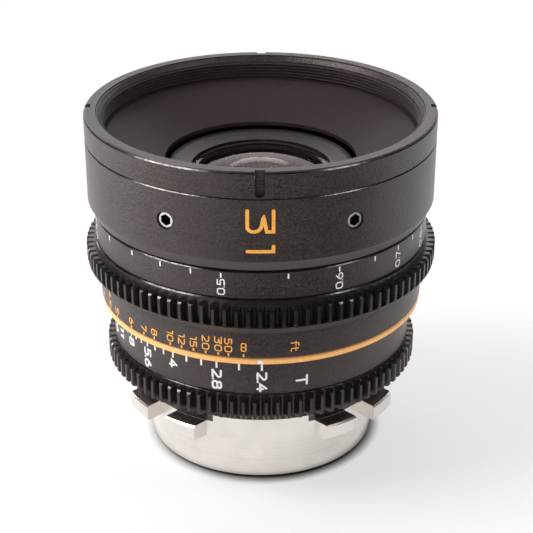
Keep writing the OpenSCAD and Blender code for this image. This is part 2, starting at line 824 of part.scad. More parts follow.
module iris_housing() {
    rim_in_r = actuator_r + running_fit;
    color(inner_black) difference() {
        turned([
            [stop_r, unit_plate_z0], [rim_in_r, unit_plate_z0], [rim_in_r, cover_z1], [unit_r, cover_z1],
            [unit_r, unit_z1], [stop_r, unit_z1]
        ]);
        around(blade_count) translate([pivot_r, 0, unit_plate_z0 - over])
            cylinder(h = unit_plate_t + 2 * over, r = pivot_pin_r + running_fit);
        arc_slot(
            rim_in_r - over, unit_r + over,
            drive_angle - drive_margin(rim_in_r), drive_angle + iris_turn + drive_margin(rim_in_r),
            drive_z - drive_r - free_gap, drive_z + drive_r + free_gap
        );
    }
}

module iris_cover() {
    color(inner_black) band(actuator_in_r, unit_r, cover_z0, cover_z1);
}

module rear_cell() {
    fifth_seat_z = fifth_rear_vertex + cap_height(fifth_rear_curve, cell_throat_r) - seat_fit;
    rear_seat_z = rear_vertex - cap_height(rear_curve, cell_throat_r) + seat_fit;
    color(inner_black) turned([
        [rear_glass_r + glass_fit, rear_cell_z0], [rear_body_r, rear_cell_z0],
        [rear_body_r, barrel_foot_z - rear_flange_h], [rear_flange_r, barrel_foot_z - rear_flange_h],
        [rear_flange_r, barrel_foot_z], [unit_r, barrel_foot_z], [unit_r, cover_z0],
        [doublet_r + glass_fit, cover_z0], [doublet_r + glass_fit, fifth_seat_z],
        [cell_throat_r, fifth_seat_z], [cell_throat_r, rear_seat_z], [rear_glass_r + glass_fit, rear_seat_z]
    ]);
}

module fourth_element() {
    color(glass_tint) glass(
        doublet_r, bond_vertex - cap_height(bond_curve, doublet_r), doublet_z1,
        fourth_vertex, -fourth_curve, bond_vertex, -bond_curve
    );
}

module fifth_element() {
    color(glass_tint) glass(
        doublet_r, fifth_rear_vertex, fifth_vertex,
        fifth_vertex, bond_curve, fifth_rear_vertex, fifth_rear_curve
    );
}

module doublet_retainer() {
    color(inner_black) band(doublet_r - 0.9, doublet_r, doublet_z1 + seat_fit, cover_z0 - seat_fit);
}

module rear_element() {
    color(glass_tint) glass(
        rear_glass_r, rear_back_vertex, rear_vertex,
        rear_vertex, rear_curve, rear_back_vertex, rear_back_curve
    );
}

module rear_retainer() {
    rest_r = rear_glass_r - 1.2;
    top = rear_back_vertex + cap_height(rear_back_curve, rest_r) - seat_fit;
    color(inner_black) band(rest_r, rear_glass_r, top - retaining_h, top);
}

// Turning iris ring and the iris unit

module iris_ring() {
    groove_w = 2 * drive_r + 0.2;
    groove_z1 = drive_z + drive_r + focus_travel + free_gap;
    color(anodised) difference() {
        turned([
            [iris_bore_r, iris_z0], [iris_seat_r, iris_z0], [iris_seat_r, iris_gear_z1],
            [iris_band_r - 2 * edge, iris_gear_z1], [iris_band_r, iris_gear_z1 + 2 * edge],
            [iris_band_r, iris_z1 - edge], [iris_band_r - edge, iris_z1], [iris_bore_r, iris_z1]
        ]);
        rotate([0, 0, drive_angle]) translate([iris_bore_r - over, -groove_w / 2, iris_z0 - over])
            cube([drive_groove_r - iris_bore_r + over, groove_w, groove_z1 - iris_z0 + over]);
    }
}

module iris_gear() {
    color(gear_black)
        gear_ring(iris_seat_r + seat_fit, teeth_on(iris_seat_r), iris_z0, iris_gear_z1, iris_lip_h);
}

module cam_slot() {
    turns = [for (s = [0:cam_steps]) iris_turn * s / cam_steps];
    z0 = actuator_z1 - actuator_plate_t - over;
    height = actuator_plate_t + 2 * over;
    translate([0, 0, z0]) {
        linear_extrude(height) polygon(concat(
            [for (a = turns) cam_point(a) + cam_half_w * cam_normal(a)],
            [for (s = [cam_steps:-1:0]) cam_point(turns[s]) - cam_half_w * cam_normal(turns[s])]
        ));
        for (a = [0, iris_turn]) translate(cam_point(a)) cylinder(h = height, r = cam_half_w);
    }
}

module iris_actuator() {
    plate_z0 = actuator_z1 - actuator_plate_t;
    rim_r = actuator_r - actuator_rim;
    color(brass) difference() {
        turned([
            [actuator_in_r, plate_z0], [rim_r, plate_z0], [rim_r, actuator_z0], [actuator_r, actuator_z0],
            [actuator_r, actuator_z1], [actuator_in_r, actuator_z1]
        ]);
        around(blade_count) cam_slot();
        rotate([0, 0, drive_angle]) radial(rim_r - 0.1, actuator_r + over, drive_z, drive_r + 0.02);
    }
}

module actuator_pin() {
    color(steel) rotate([0, 0, drive_angle])
        radial(actuator_r - actuator_rim, drive_end_r, drive_z, drive_r);
}

module iris_blade(i) {
    z0 = blade_floor + (blade_count - i) * blade_pitch;
    pivot_top = unit_z1 - 0.2;
    drive_foot = actuator_z1 - actuator_plate_t + 0.1;
    color(blade_grey) rotate([0, 0, (i - 1) * 360 / blade_count]) {
        arc_slot(blade_in_r, blade_out_r, blade_root, blade_span, z0, z0 + blade_t);
        translate([pivot_r, 0, z0]) {
            cylinder(h = blade_t, r = blade_ear_r);
            cylinder(h = pivot_top - z0, r = pivot_pin_r);
            rotate([0, 0, tail_angle]) {
                translate([0, -tail_w / 2, 0]) cube([tail_len, tail_w, blade_t]);
                translate([tail_len, 0, 0]) cylinder(h = blade_t, r = tail_w / 2);
                translate([tail_len, 0, drive_foot - z0])
                    cylinder(h = z0 + blade_t - drive_foot, r = drive_pin_r);
            }
        }
    }
}

front_ring();
front_barrel();
lock_screws();
front_baffle();
barrel_support();
support_screws();
guide_tube();
index_ring();
focus_stop();
iris_retainer();
pl_mount();
flange_shim();
mount_screws();
rear_baffle();
focus_ring();
focus_gear();
focus_helicoid();
helicoid_screws();
helicoid_ring();
guide_keys();
lens_barrel();
front_cell();
front_retainer();
front_element();
front_spacer();
second_element();
third_element();
third_retainer();
iris_housing();
iris_cover();
rear_cell();
fourth_element();
fifth_element();
doublet_retainer();
rear_element();
rear_retainer();
iris_ring();
iris_gear();
iris_actuator();
actuator_pin();
for (i = [1:blade_count])
    iris_blade(i);
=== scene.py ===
import json
import math

import bpy
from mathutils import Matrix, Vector


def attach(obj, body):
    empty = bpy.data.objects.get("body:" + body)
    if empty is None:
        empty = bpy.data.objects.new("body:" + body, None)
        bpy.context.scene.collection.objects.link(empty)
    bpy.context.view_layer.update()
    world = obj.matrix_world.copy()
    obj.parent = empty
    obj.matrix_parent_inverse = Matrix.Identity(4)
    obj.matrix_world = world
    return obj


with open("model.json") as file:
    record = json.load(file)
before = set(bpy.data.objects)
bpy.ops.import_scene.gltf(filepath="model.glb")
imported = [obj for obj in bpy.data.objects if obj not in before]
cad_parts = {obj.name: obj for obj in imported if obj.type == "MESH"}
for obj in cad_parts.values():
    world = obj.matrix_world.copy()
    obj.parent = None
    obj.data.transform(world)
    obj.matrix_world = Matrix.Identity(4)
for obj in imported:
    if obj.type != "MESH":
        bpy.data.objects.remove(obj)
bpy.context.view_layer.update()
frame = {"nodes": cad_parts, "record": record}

# Places on the lens are in millimetres, and the studio round it is in metres
MM = 0.001
FOOT = 0.3048
FLOOR_Z = -12.6
RIM_LINE_Z = 69.56
SCREW_FACE_R = 39.55


# Node helpers

def grey(level):
    return (level, level, level)


def scaled(colour, factor):
    return tuple(factor * c for c in colour)


def new_material(name):
    mat = bpy.data.materials.new(name)
    mat.use_nodes = True
    tree = mat.node_tree
    bsdf = next(n for n in tree.nodes if n.type == "BSDF_PRINCIPLED")
    return mat, tree, bsdf


def set_inputs(tree, node, inputs):
    """Set sockets to constants, or link them where the value comes out of another node."""
    for key, value in inputs.items():
        socket = node.inputs[key]
        if isinstance(value, bpy.types.NodeSocket):
            tree.links.new(value, socket)
        elif socket.type == "RGBA":
            socket.default_value = (*value, 1.0)
        else:
            socket.default_value = value


def new_node(tree, kind, inputs):
    node = tree.nodes.new(kind)
    set_inputs(tree, node, inputs)
    return node


def math_node(tree, operation, a, b=None, clamp=False):
    node = tree.nodes.new("ShaderNodeMath")
    node.operation = operation
    node.use_clamp = clamp
    set_inputs(tree, node, {0: a} if b is None else {0: a, 1: b})
    return node.outputs[0]


def plus(tree, a, b):
    return math_node(tree, "ADD", a, b)


def minus(tree, a, b, clamp=False):
    return math_node(tree, "SUBTRACT", a, b, clamp)


def times(tree, a, b, clamp=False):
    return math_node(tree, "MULTIPLY", a, b, clamp)


def weighted(tree, a, share_a, b, share_b):
    return plus(tree, times(tree, a, share_a), times(tree, b, share_b))


def vector_math(tree, operation, *vectors):
    node = tree.nodes.new("ShaderNodeVectorMath")
    node.operation = operation
    set_inputs(tree, node, dict(enumerate(vectors)))
    return node.outputs


def axes(tree, vector):
    return new_node(tree, "ShaderNodeSeparateXYZ", {0: vector}).outputs


def noise(tree, vector, scale, detail, roughness=0.55):
    inputs = {"Vector": vector, "Scale": scale, "Detail": detail, "Roughness": roughness}
    return new_node(tree, "ShaderNodeTexNoise", inputs).outputs["Fac"]


def ramp(tree, value, stops):
    """A colour that runs through the stops, each of them a position and a colour."""
    node = new_node(tree, "ShaderNodeValToRGB", {"Fac": value})
    elements = node.color_ramp.elements
    while len(elements) < len(stops):
        elements.new(0.5)
    for element, (position, colour) in zip(elements, stops):
        element.position = position
        element.color = (*colour, 1.0)
    return node.outputs["Color"]


def to_range(tree, value, low, high, start=0.0, end=1.0, smooth=False):
    """Carry the values from start to end over to those from low to high."""
    node = tree.nodes.new("ShaderNodeMapRange")
    if smooth:
        node.interpolation_type = "SMOOTHSTEP"
    limits = {"From Min": start, "From Max": end, "To Min": low, "To Max": high}
    set_inputs(tree, node, {"Value": value, **limits})
    return node.outputs["Result"]


def mix_colour(tree, factor, a, b):
    node = tree.nodes.new("ShaderNodeMix")
    node.data_type = "RGBA"
    index = {socket.identifier: i for i, socket in enumerate(node.inputs)}
    set_inputs(tree, node, {index["Factor_Float"]: factor, index["A_Color"]: a, index["B_Color"]: b})
    return next(s for s in node.outputs if s.identifier == "Result_Color")


def bump(tree, height, strength, distance):
    inputs = {"Height": height, "Strength": strength, "Distance": distance}
    return new_node(tree, "ShaderNodeBump", inputs).outputs["Normal"]


def openness(tree, reach, samples):
    """One in the open, and less in a gap or crease about as wide as the reach."""
    node = new_node(tree, "ShaderNodeAmbientOcclusion", {"Distance": reach})
    node.samples = samples
    return node.outputs["AO"]


def place(tree):
    return tree.nodes.new("ShaderNodeTexCoord").outputs["Object"]


def turned_place(tree):
    """Radius and height of a point, so that a pattern on it runs round the axis."""
    here = axes(tree, place(tree))
    square = plus(tree, times(tree, here["X"], here["X"]), times(tree, here["Y"], here["Y"]))
    join = new_node(tree, "ShaderNodeCombineXYZ", {"X": math_node(tree, "SQRT", square), "Y": here["Z"]})
    return join.outputs[0]


# Masks of edges and faces

MASK_SAMPLES = 6
CHAMFER_RISE = math.sqrt(0.5)
CHAMFER_SLACK, CHAMFER_STEEPNESS = 0.1, 20.0
UNDER_RISE, UNDER_STEEPNESS = -0.2, 4.0
ACROSS_THE_AXIS = (1.0, 1.0, 0.0)


def edge_mask(tree, radius, sharpness):
    """One on a sharp edge and zero on a flat or round face."""
    bevel = new_node(tree, "ShaderNodeBevel", {"Radius": radius})
    bevel.samples = MASK_SAMPLES
    normal = tree.nodes.new("ShaderNodeNewGeometry").outputs["Normal"]
    along = vector_math(tree, "DOT_PRODUCT", bevel.outputs["Normal"], normal)["Value"]
    return times(tree, minus(tree, 1.0, along), sharpness, clamp=True)


def chamfer_mask(tree):
    """One on a chamfer that faces up and out at 45 degrees, below the top of the front rim."""
    geometry = tree.nodes.new("ShaderNodeNewGeometry")
    normal = geometry.outputs["True Normal"]
    off = math_node(tree, "ABSOLUTE", minus(tree, axes(tree, normal)["Z"], CHAMFER_RISE))
    slope = times(tree, minus(tree, CHAMFER_SLACK, off, clamp=True), CHAMFER_STEEPNESS, clamp=True)
    level = vector_math(tree, "MULTIPLY", geometry.outputs["Position"], ACROSS_THE_AXIS)["Vector"]
    outward = vector_math(tree, "DOT_PRODUCT", level, normal)["Value"]
    low = math_node(tree, "LESS_THAN", axes(tree, place(tree))["Z"], RIM_LINE_Z * MM)
    facing = math_node(tree, "GREATER_THAN", outward, 0.0)
    return times(tree, slope, times(tree, facing, low))


def underside_sheen_mask(tree):
    """One on a face that slopes under, and zero on an upright or upward one."""
    normal = tree.nodes.new("ShaderNodeNewGeometry").outputs["True Normal"]
    under = minus(tree, UNDER_RISE, axes(tree, normal)["Z"], clamp=True)
    return times(tree, under, UNDER_STEEPNESS, clamp=True)


def ear_pocket_shade(tree, height, half_width):
    """Mask of painted shade: one on the neck above a height, behind the four ears that stand at 45 degrees to
    the index.
    """
    here = axes(tree, place(tree))
    across = math_node(
        tree, "MINIMUM",
        math_node(tree, "ABSOLUTE", plus(tree, here["X"], here["Y"])),
        math_node(tree, "ABSOLUTE", minus(tree, here["X"], here["Y"])),
    )
    behind = math_node(tree, "LESS_THAN", across, math.sqrt(2.0) * half_width * MM)
    return times(tree, behind, math_node(tree, "GREATER_THAN", here["Z"], height * MM))


# Kinds of finish, with the scales of their noises in waves a metre and depths in metres

CLOUD, SPOT, WEAR, MOTTLE, GRIT, TURNING = 190, 620, 900, 1900, 2500, 5200
SMEAR, TOOL_BAND, TOOL_LINE = 140, 900, 6500
SCREW_SMEAR, PAINT_PATCH, PAINT_GRAIN, DUST = 1500, 1600, 9000, 2400
FLOOR_CLOUD, FLAG_WEAVE = 6.0, 400
EDGE_R, GRAIN_DEPTH, FINE_DEPTH = 0.00018, 0.00009, 0.00003
NO_TINT = (1.0, 1.0, 1.0)
BARE_METAL = (0.58, 0.56, 0.54)
RUBBED_DIM, RUBBED_BRIGHT = (0.25, 0.23, 0.22), (1.0, 0.95, 0.91)
POCKET_SHADE_BLACK = (0.085, 0.079, 0.074)
GAP_SHADE_BLACK = grey(0.001)
SCREW_SHADE_DEEP_DEPTH, SCREW_SHADE_END_DEPTH = 0.26, 0.14
GLASS_IOR, FILM_IOR = 1.52, 1.33


def anodised(name, dark, light, wear_and_sheen, rough, grain=0.10, edge=2.5, bare=0.0, lines=0.8, chamfer=0.0,
             sheen=NO_TINT, gloss=0.5, gap_shade_width=0.0):
    """Dyed anodised aluminium with a blasted grain, faint turning lines and edges rubbed lighter by wear.

    With bare, about that share of the edges is rubbed to metal, the chamfers are bare metal, and faces that
    slope under are painted lighter as a painted reflection of the floor.
    Given a width in metres, gaps about that wide are painted black as painted shade.
    """
    mat, tree, bsdf = new_material(name)
    here = place(tree)
    cloud = noise(tree, here, CLOUD, 5.0, 0.6)
    grit = noise(tree, here, GRIT, 2.0, 0.6)
    mottle = noise(tree, here, MOTTLE, 2.0, 0.5)
    turning = noise(tree, turned_place(tree), TURNING, 2.0, 0.5)
    colour = ramp(tree, weighted(tree, cloud, 0.2, grit, 0.8), [(0.39, dark), (0.61, light)])
    sharp = edge_mask(tree, EDGE_R, edge)
    wear = times(tree, sharp, to_range(tree, noise(tree, here, WEAR, 3.0), 0.2, 1.0), clamp=True)
    colour = mix_colour(tree, wear, colour, wear_and_sheen)
    rough_here = to_range(tree, weighted(tree, cloud, 0.4, grit, 0.6), rough - 0.08, rough + 0.10)
    height = plus(tree, plus(tree, grit, times(tree, mottle, 0.6)), times(tree, turning, lines))
    if bare:
        # Painted reflection: faces that slope under are mixed toward the lighter colour, as if they caught
        # the bright floor below
        colour = mix_colour(tree, times(tree, underside_sheen_mask(tree), 0.6), colour, wear_and_sheen)
        spots = minus(tree, noise(tree, here, SPOT, 4.0, 0.65), 1.0 - bare, clamp=True)
        spots = times(tree, times(tree, spots, 9.0, clamp=True), times(tree, sharp, 1.5, clamp=True))
        colour = mix_colour(tree, spots, colour, BARE_METAL)
        bevelled = chamfer_mask(tree)
        rubbed = ramp(tree, noise(tree, here, WEAR, 4.0, 0.7), [
            (0.36, scaled(RUBBED_DIM, chamfer)), (0.64, scaled(RUBBED_BRIGHT, chamfer)),
        ])
        colour = mix_colour(tree, bevelled, colour, rubbed)
        rough_here = minus(tree, rough_here, times(tree, bevelled, 0.45 * rough))
        height = times(tree, height, minus(tree, 1.0, bevelled))
        set_inputs(tree, bsdf, {"Metallic": math_node(tree, "MAXIMUM", spots, bevelled)})
    # Painted shade: gaps and creases about the given width are painted black and made rougher
    if gap_shade_width:
        closed = minus(tree, 1.0, openness(tree, gap_shade_width, MASK_SAMPLES))
        closed = times(tree, closed, minus(tree, 1.0, chamfer_mask(tree)))
        colour = mix_colour(tree, times(tree, closed, 1.6, clamp=True), colour, GAP_SHADE_BLACK)
        rough_here = plus(tree, rough_here, times(tree, closed, 0.6))
    set_inputs(tree, bsdf, {
        "Base Color": colour,
        "Roughness": rough_here,
        "Specular Tint": sheen,
        "Specular IOR Level": gloss,
        "Normal": bump(tree, height, grain, GRAIN_DEPTH),
    })
    return mat


def turned_metal(name, dark, light, rough, pocket_shade=None):
    """Turned metal with tool lines round the axis, and painted shade, near-black, on the neck behind the ears
    where it has them.
    """
    mat, tree, bsdf = new_material(name)
    round_axis = turned_place(tree)
    lines = noise(tree, round_axis, TOOL_LINE, 3.0, 0.6)
    bands = noise(tree, round_axis, TOOL_BAND, 3.0, 0.6)
    smear = noise(tree, place(tree), SMEAR, 4.0, 0.6)
    colour = ramp(tree, weighted(tree, lines, 0.5, smear, 0.5), [(0.3, dark), (0.68, light)])
    if pocket_shade:
        # Painted shade: the neck behind the ears is painted near-black, so the ear tops reflect dark
        colour = mix_colour(tree, ear_pocket_shade(tree, *pocket_shade), colour, POCKET_SHADE_BLACK)
    set_inputs(tree, bsdf, {
        "Base Color": colour,
        "Metallic": 1.0,
        "Roughness": to_range(tree, weighted(tree, bands, 0.6, smear, 0.6), rough - 0.05, rough + 0.09),
        "Normal": bump(tree, plus(tree, lines, bands), 0.12, FINE_DEPTH),
    })
    return mat


def set_screw(name, bright, dark, face_r, rough):
    """Bright steel on the end of a set screw, and its socket darkened by dirt and by painted shade."""
    mat, tree, bsdf = new_material(name)
    # Dirt and painted shade: deeper than the face, the socket fades to the dark colour
    fade = ((face_r - SCREW_SHADE_DEEP_DEPTH) * MM, (face_r - SCREW_SHADE_END_DEPTH) * MM)
    out_of_socket_shade = to_range(tree, axes(tree, turned_place(tree))["X"], 0.0, 1.0, *fade)
    smear = noise(tree, place(tree), SCREW_SMEAR, 3.0, 0.6)
    shine = mix_colour(tree, smear, bright, scaled(bright, 0.8))
    set_inputs(tree, bsdf, {
        "Base Color": mix_colour(tree, out_of_socket_shade, dark, shine),
        "Metallic": 1.0,
        "Roughness": to_range(tree, smear, rough - 0.05, rough + 0.08),
        "Normal": bump(tree, smear, 0.1, FINE_DEPTH),
    })
    return mat


def paint(name, colour, rough):
    """Paint filled into an engraved mark, a little uneven."""
    mat, tree, bsdf = new_material(name)
    here = place(tree)
    patch = noise(tree, here, PAINT_PATCH, 4.0, 0.6)
    set_inputs(tree, bsdf, {
        "Base Color": ramp(tree, patch, [(0.32, scaled(colour, 0.82)), (0.6, colour)]),
        "Roughness": to_range(tree, patch, rough - 0.08, rough + 0.1),
        "Normal": bump(tree, noise(tree, here, PAINT_GRAIN, 2.0), 0.08, FINE_DEPTH),
    })
    return mat


def coated_glass(name, tint, film):
    """Clear glass with a thin antireflection film, in nanometres, and a trace of dust."""
    mat, tree, bsdf = new_material(name)
    dust = noise(tree, place(tree), DUST, 3.0, 0.5)
    set_inputs(tree, bsdf, {
        "Base Color": ramp(tree, dust, [(0.3, tint), (0.8, scaled(tint, 0.96))]),
        "Roughness": to_range(tree, dust, 0.0, 0.03),
        "Transmission Weight": 1.0,
        "IOR": GLASS_IOR,
        "Thin Film Thickness": film,
        "Thin Film IOR": FILM_IOR,
    })
    return mat


# Finishes of the pieces

WARM = (1.0, 0.84, 0.82)
EAR_POCKET_SHADE = (3.85, 12.5)
ANODISED = anodised(
    "anodised_grey", (0.0042, 0.0032, 0.0030), (0.0290, 0.0232, 0.0220), (0.070, 0.057, 0.053), 0.34,
    grain=0.75, bare=0.44, chamfer=0.16, sheen=WARM, gloss=0.68, gap_shade_width=0.0013,
)
GEAR = anodised(
    "anodised_gear_black", (0.0075, 0.0058, 0.0056), (0.0125, 0.0098, 0.0095), (0.06, 0.054, 0.051), 0.28,
    edge=3.0, bare=0.38, chamfer=0.12, sheen=WARM, gloss=0.62,
)
INNER = anodised(
    "anodised_inner_black", (0.0290, 0.0205, 0.0200), (0.0390, 0.0280, 0.0272), (0.045, 0.038, 0.036), 0.52,
    grain=0.06, edge=0.8, lines=2.2, sheen=WARM, gloss=0.2,
)
ORANGE = anodised(
    "anodised_orange", (0.86, 0.415, 0.13), (0.95, 0.49, 0.165), (0.97, 0.58, 0.24), 0.34,
    grain=0.03, edge=0.8,
)
BLADE = anodised(
    "blackened_blade", (0.012, 0.012, 0.013), (0.022, 0.022, 0.024), (0.09, 0.09, 0.095), 0.40,
    grain=0.03,
)
STEEL = turned_metal("turned_steel", (0.70, 0.655, 0.622), (0.86, 0.812, 0.772), 0.20, pocket_shade=EAR_POCKET_SHADE)
BLACK_STEEL = turned_metal("black_oxide_steel", (0.025, 0.025, 0.026), (0.05, 0.05, 0.052), 0.34)
BRASS = turned_metal("lapped_brass", (0.48, 0.33, 0.11), (0.62, 0.45, 0.18), 0.24)
SCREW = set_screw("set_screw_steel", (0.82, 0.80, 0.77), (0.034, 0.030, 0.028), SCREW_FACE_R, 0.36)
GLASS = coated_glass("coated_glass", (0.88, 0.76, 0.77), 126.0)
WHITE_PAINT = paint("white_scale_paint", (0.80, 0.79, 0.77), 0.5)
ORANGE_PAINT = paint("orange_scale_paint", (0.93, 0.40, 0.055), 0.48)

FINISH = {
    "anodised": ANODISED, "gear_black": GEAR, "inner_black": INNER, "orange_anodised": ORANGE, "steel": STEEL,
    "black_steel": BLACK_STEEL, "brass": BRASS, "blade_steel": BLADE, "coated_glass": GLASS,
}
slot_of = {s["node"]: s["material_slot"] for s in frame["record"]["subparts"]}
for node_name, obj in frame["nodes"].items():
    obj.data.materials.clear()
    obj.data.materials.append(SCREW if node_name == "lock_screws" else FINISH[slot_of[node_name]])


# Objects

def add_object(name, data):
    obj = bpy.data.objects.new(name, data)
    bpy.context.scene.collection.objects.link(obj)
    return obj


def add_mesh(name, points, faces, material):
    mesh = bpy.data.meshes.new(name)
    mesh.from_pydata(points, [], faces)
    mesh.validate()
    mesh.materials.append(material)
    return add_object(name, mesh)


# Stroke figures for the scales, each with its width and its strokes in a box one unit high

def arc(cx, cy, rx, ry, a0, a1, steps):
    turns = [math.radians(a0 + (a1 - a0) * i / steps) for i in range(steps + 1)]
    return [(cx + rx * math.cos(a), cy + ry * math.sin(a)) for a in turns]


def loop(x0, y0, x1, y1, r):
    """A closed box with round corners, clockwise from the right end of its top."""
    points = arc(x1 - r, y1 - r, r, r, 90, 0, 5) + arc(x1 - r, y0 + r, r, r, 0, -90, 5)
    points += arc(x0 + r, y0 + r, r, r, -90, -180, 5) + arc(x0 + r, y1 - r, r, r, 180, 90, 5)
    return points + points[:1]


SIX = [arc(0.38, 0.31, 0.38, 0.31, 180, -180, 20), [(0.0, 0.31), (0.03, 0.46), (0.12, 0.62), (0.48, 1.0)]]
CROSSBAR = [(0.0, 0.62), (0.44, 0.62)]
FIGURES = {
    "0": (0.76, [loop(0.0, 0.0, 0.76, 1.0, 0.27)]),
    "1": (0.34, [[(0.0, 0.98), (0.34, 0.98), (0.34, 0.0)]]),
    "2": (0.74, [
        [(0.0, 1.0), (0.46, 1.0)]
        + arc(0.46, 0.76, 0.27, 0.24, 80, -35, 6)
        + [(0.02, 0.03), (0.04, 0.0), (0.74, 0.0)],
    ]),
    "3": (0.86, [
        [(0.0, 1.0), (0.86, 1.0), (0.85, 0.76), (0.25, 0.60), (0.62, 0.53)]
        + arc(0.56, 0.29, 0.28, 0.29, 55, -90, 9)
        + [(0.0, 0.0)],
    ]),
    "4": (0.78, [[(0.50, 1.0), (0.0, 0.30), (0.78, 0.30)], [(0.55, 0.62), (0.55, 0.0)]]),
    "5": (0.74, [
        [(0.68, 1.0), (0.06, 1.0), (0.04, 0.58), (0.46, 0.58)]
        + arc(0.45, 0.29, 0.29, 0.29, 80, -90, 9)
        + [(0.0, 0.0)],
    ]),
    "6": (0.76, SIX),
    "7": (0.74, [[(0.0, 1.0), (0.74, 1.0), (0.28, 0.0)]]),
    "8": (0.78, [loop(0.05, 0.545, 0.73, 1.0, 0.2), loop(0.0, 0.0, 0.78, 0.54, 0.24)]),
    "9": (0.76, [[(0.76 - x, 1.0 - y) for x, y in path] for path in SIX]),
    ".": (0.02, [[(0.0, 0.03), (0.02, 0.03)]]),
    "large 3": (0.86, [
        [(0.0, 1.0), (0.86, 1.0), (0.86, 0.743), (0.25, 0.63), (0.35, 0.59)]
        + [(0.62, 0.55), (0.74, 0.49), (0.83, 0.40), (0.86, 0.30), (0.86, 0.20)]
        + arc(0.66, 0.20, 0.20, 0.20, -6, -90, 6)
        + [(0.0, 0.0)],
    ]),
    "large 1": (0.2185, [[(0.0, 1.0), (0.2185, 1.0), (0.2185, 0.0)]]),
    "f": (0.5, [
        [(0.52, 1.0), (0.34, 1.0)] + arc(0.32, 0.84, 0.16, 0.16, 100, 180, 5) + [(0.16, 0.0)], CROSSBAR,
    ]),
    "t": (0.5, [
        [(0.16, 0.96), (0.16, 0.16)] + arc(0.32, 0.16, 0.16, 0.16, 180, 270, 5) + [(0.5, 0.0)], CROSSBAR,
    ]),
    "T": (0.78, [[(0.0, 1.0), (0.78, 1.0)], [(0.39, 1.0), (0.39, 0.0)]]),
    "inf": (1.24, [loop(0.0, 0.10, 0.62, 0.90, 0.26), loop(0.62, 0.10, 1.24, 0.90, 0.26)]),
}
FIGURE_WIDTH, FIGURE_GAP, POINT_GAP = 1.18, 0.38, 0.28


def write(figures, height, width, gap):
    """Strokes of a row of figures along its line, from 0 to its length, in millimetres."""
    paths, x = [], 0.0
    for i, figure in enumerate(figures):
        if i:
            x += POINT_GAP if "." in (figure, figures[i - 1]) else gap
        advance, strokes = FIGURES[figure]
        paths += [[((x + px * width) * height, py * height) for px, py in path] for path in strokes]
        x += advance * width
    return paths, x * height


# Painted strokes, in millimetres

PAINT_LIFT, PAINT_SINK = 0.012, 0.02
LONGEST_STEP = 0.5
SAME_POINT = 1e-6
SHARPEST_MITRE = 0.55
ROUND_END_TURNS = (22, 44, 64, 82)


class Marks:
    """Thin painted strokes wrapped on a turned surface and joined in one mesh."""

    def __init__(self):
        self.points, self.faces = [], []

    def ribbon(self, path, width, wrap, round_ends=True):
        """A stroke of one width along a path, which is closed where the path ends at its start."""
        path = [p for i, p in enumerate(path) if i == 0 or math.dist(p, path[i - 1]) > SAME_POINT]
        fine = [path[0]]
        for a, b in zip(path, path[1:]):
            pieces = max(1, math.ceil(math.dist(a, b) / LONGEST_STEP))
            for k in range(1, pieces + 1):
                fine.append((a[0] + (b[0] - a[0]) * k / pieces, a[1] + (b[1] - a[1]) * k / pieces))
        closed = math.dist(fine[0], fine[-1]) < SAME_POINT
        if closed:
            fine = fine[:-1]
        half = width / 2
        count = len(fine)
        sections = []
        for i, here in enumerate(fine):
            before = fine[i - 1] if i or closed else None
            after = fine[(i + 1) % count] if i < count - 1 or closed else None
            sections.append(self.section(before, here, after, half))
        if round_ends and not closed:
            start, end = self.round_end(sections[0], half, -1), self.round_end(sections[-1], half, 1)
            sections = start[::-1] + sections + end
        self.strip(sections, closed, wrap)

    def section(self, before, here, after, half):
        """A point of a stroke, the way across it and how far its sides stand off there."""
        normals = []
        for p, q in ((before, here), (here, after)):
            if p is None or q is None:
                continue
            length = math.dist(p, q)
            normals.append((-(q[1] - p[1]) / length, (q[0] - p[0]) / length))
        nx, ny = sum(n[0] for n in normals), sum(n[1] for n in normals)
        size = math.hypot(nx, ny)
        nx, ny = nx / size, ny / size
        spread = half / max(SHARPEST_MITRE, nx * normals[0][0] + ny * normals[0][1])
        return here, (nx, ny), spread

    def round_end(self, section, half, way):
        """Sections that narrow past the end of a stroke in a half circle."""
        (x, y), (nx, ny), _ = section
        ends = []
        for turn in map(math.radians, ROUND_END_TURNS):
            past = way * half * math.sin(turn)
            ends.append(((x + ny * past, y - nx * past), (nx, ny), half * math.cos(turn)))
        return ends

    def strip(self, sections, closed, wrap):
        """A thin closed band through the sections, sunk a little into the ring under it."""
        start = len(self.points)
        for (x, y), (nx, ny), spread in sections:
            sides = (x + nx * spread, y + ny * spread), (x - nx * spread, y - ny * spread)
            self.points += [wrap(*side, out) for out in (PAINT_LIFT, -PAINT_SINK) for side in sides]
        count = len(sections)
        for i in range(count if closed else count - 1):
            p, q = start + 4 * i, start + 4 * ((i + 1) % count)
            self.faces += [(p, p + 1, q + 1, q), (p, q, q + 2, p + 2)]
            self.faces += [(p + 1, p + 3, q + 3, q + 1), (p + 2, q + 2, q + 3, p + 3)]
        if not closed:
            last = start + 4 * (count - 1)
            self.faces += [(start, start + 2, start + 3, start + 1), (last, last + 1, last + 3, last + 2)]

    def build(self, name, material, body):
        obj = add_mesh(name, [[c * MM for c in p] for p in self.points], self.faces, material)
        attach(obj, body)


def on_ring(radius, angle):
    """Places on a ring, given along it to the right, up it and out of it, from an angle off the index."""
    def wrap(along, up, out):
        phi = math.radians(angle) + along / radius
        r = radius + out
        return (r * math.sin(phi), -r * math.cos(phi), up)
    return wrap


